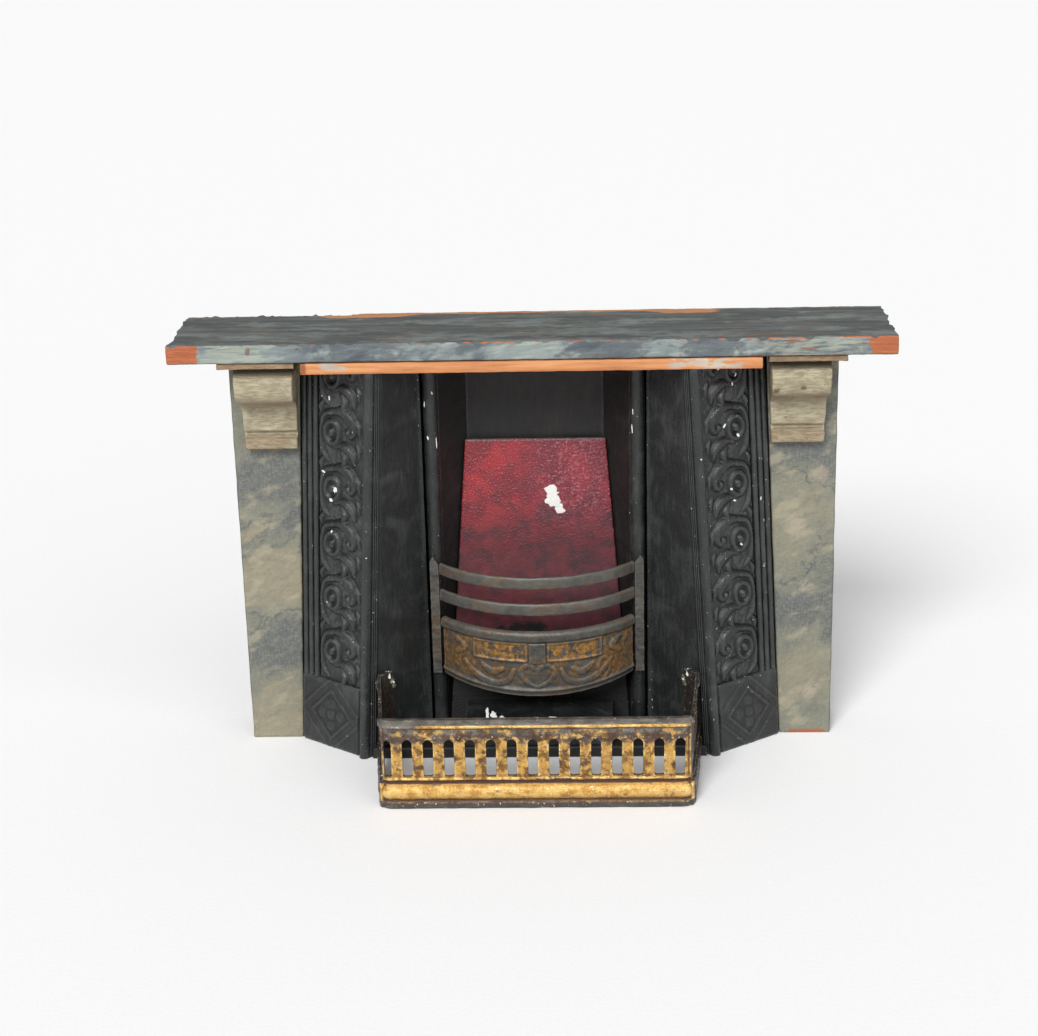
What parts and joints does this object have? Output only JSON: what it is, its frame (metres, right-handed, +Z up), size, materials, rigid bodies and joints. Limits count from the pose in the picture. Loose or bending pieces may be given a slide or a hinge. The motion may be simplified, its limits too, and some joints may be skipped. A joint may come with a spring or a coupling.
{
  "type": "miniature fireplace mantel",
  "caption": "Dolls' house fireplace: a marbled wooden mantel on corbels round a splayed black cast insert, with a bowed grate, a red fireback and a pierced gilt fender.",
  "frame": {"origin": "on the floor, under the middle of the whole object's bounding box", "axes": "+Z up, +X to the viewer's right along the shelf, and the hearth and fender face -Y; the wall face is at +Y"},
  "size_m": [0.18, 0.0576, 0.113],
  "materials": {
    "marbled_shelf_paint": "faux marble paint on wood, satin",
    "bare_wood": "bare, lightly sealed",
    "stone_paint": "stone-coloured paint on wood, matt",
    "marbled_jamb_paint": "faux marble paint on wood, satin",
    "black_cast_paint": "black paint on a plaster casting, chipped white on its high points",
    "matt_black_paint": "black paint on plaster panels, matt",
    "crimson_paint": "crimson gloss paint, sooted and chipped",
    "worn_gunmetal": "worn grey metal with rust and traces of gilding",
    "worn_gilt_metal": "worn gilding over grey metal"
  },
  "bodies": {
    "mantel": {"mantel_shelf": "marbled_shelf_paint", "frieze_batten": "bare_wood", "corbel_cap_left": "stone_paint", "corbel_cap_right": "stone_paint", "corbel_left": "stone_paint", "corbel_right": "stone_paint", "jamb_left": "marbled_jamb_paint", "jamb_right": "marbled_jamb_paint", "pilaster_left": "black_cast_paint", "pilaster_right": "black_cast_paint", "ornament_left": "black_cast_paint", "ornament_right": "black_cast_paint", "plinth_left": "black_cast_paint", "plinth_right": "black_cast_paint", "cheek_left": "matt_black_paint", "cheek_right": "matt_black_paint", "edge_strip_left": "black_cast_paint", "edge_strip_right": "black_cast_paint", "recess_side_left": "matt_black_paint", "recess_side_right": "matt_black_paint", "back_plate": "matt_black_paint", "fireback": "crimson_paint", "hearth_plate": "matt_black_paint", "ash_cover": "matt_black_paint", "grate_panel": "worn_gunmetal", "grate_middle_bar": "worn_gunmetal", "grate_top_bar": "worn_gunmetal", "grate_post_left": "worn_gunmetal", "grate_post_right": "worn_gunmetal", "grate_floor": "matt_black_paint"},
    "fender": {"fender_front": "worn_gilt_metal", "fender_arm_left": "worn_gilt_metal", "fender_arm_right": "worn_gilt_metal"}
  },
  "joints": [
    {"name": "fender_slide", "type": "slide", "parent": "mantel", "child": "fender", "axis": [0, -1, 0], "range_m": [0, 0.03]}
  ]
}
